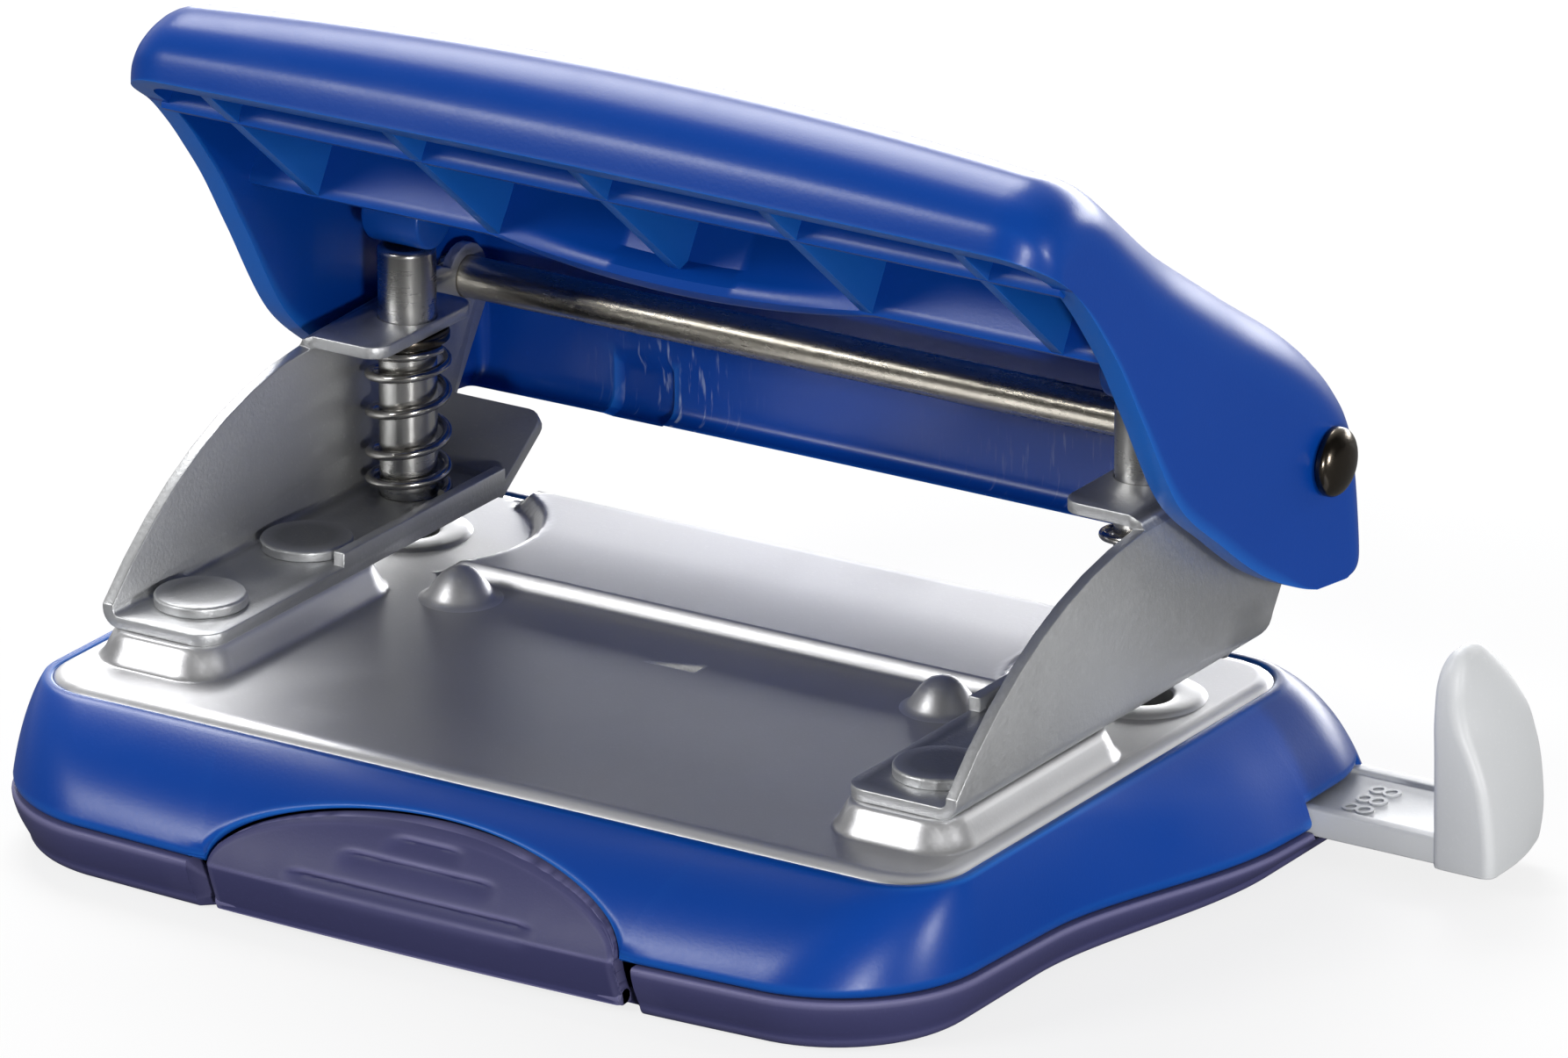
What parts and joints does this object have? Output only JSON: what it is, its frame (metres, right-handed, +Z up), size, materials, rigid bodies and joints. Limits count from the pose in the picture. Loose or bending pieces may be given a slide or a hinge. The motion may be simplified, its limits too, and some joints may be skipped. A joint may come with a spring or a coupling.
{
  "type": "paper punch",
  "caption": "Desk paper punch with a hollow hinged lever, sprung punches in folded sheet brackets, a steel plate on a moulded base, a pull-out paper guide and a chip flap.",
  "frame": {"origin": "on the table, midway between the two punch axes", "axes": "+X towards the side the paper guide slides out of, -Y towards the user, +Z up"},
  "size_m": [0.1305, 0.0871, 0.075],
  "materials": {
    "blue_plastic": "satin gloss moulding",
    "violet_plastic": "fine matte moulding",
    "plate_steel": "satin plated",
    "bracket_steel": "grainy zinc plating",
    "punch_steel": "turned and ground",
    "spring_wire": "bright drawn wire",
    "rod_nickel": "drawn nickel plating",
    "grey_plastic": "satin moulding"
  },
  "bodies": {
    "base": {"base_housing": "blue_plastic", "bottom_cover": "violet_plastic", "base_plate": "plate_steel", "left_bracket": "bracket_steel", "right_bracket": "bracket_steel", "bracket_rivets": "bracket_steel", "left_spring": "spring_wire", "right_spring": "spring_wire", "cross_rod": "rod_nickel", "left_rod_cap": "rod_nickel", "right_rod_cap": "rod_nickel"},
    "lever": {"lever": "blue_plastic"},
    "left_pin": {"left_punch": "punch_steel", "left_retaining_ring": "rod_nickel"},
    "right_pin": {"right_punch": "punch_steel", "right_retaining_ring": "rod_nickel"},
    "guide": {"guide_bar": "grey_plastic", "guide_stop": "grey_plastic"},
    "flap": {"chip_flap": "violet_plastic"}
  },
  "joints": [
    {"name": "lever_hinge", "type": "hinge", "parent": "base", "child": "lever", "pos_m": [0, 0.0173, 0.0337], "axis": [1, 0, 0], "range_deg": [0, 17], "stiffness_Nm_per_rad": 0.4, "springref_deg": -16.04},
    {"name": "left_pin_slide", "type": "slide", "parent": "base", "child": "left_pin", "axis": [0, 0, -1], "range_m": [0, 0.0057], "stiffness_N_per_m": 20, "springref_m": -0.006, "deforming": ["left_spring"]},
    {"name": "right_pin_slide", "type": "slide", "parent": "base", "child": "right_pin", "axis": [0, 0, -1], "range_m": [0, 0.0057], "stiffness_N_per_m": 20, "springref_m": -0.006, "deforming": ["right_spring"]},
    {"name": "guide_slide", "type": "slide", "parent": "base", "child": "guide", "axis": [1, 0, 0], "range_m": [-0.012, 0.07]},
    {"name": "flap_hinge", "type": "hinge", "parent": "base", "child": "flap", "pos_m": [0, -0.0582, 0.0013], "axis": [1, 0, 0], "range_deg": [0, 60]}
  ],
  "couplings": [
    {"joint": "left_pin_slide", "follows": "lever_hinge", "m_per_rad": 0.0189},
    {"joint": "right_pin_slide", "follows": "lever_hinge", "m_per_rad": 0.0189}
  ]
}
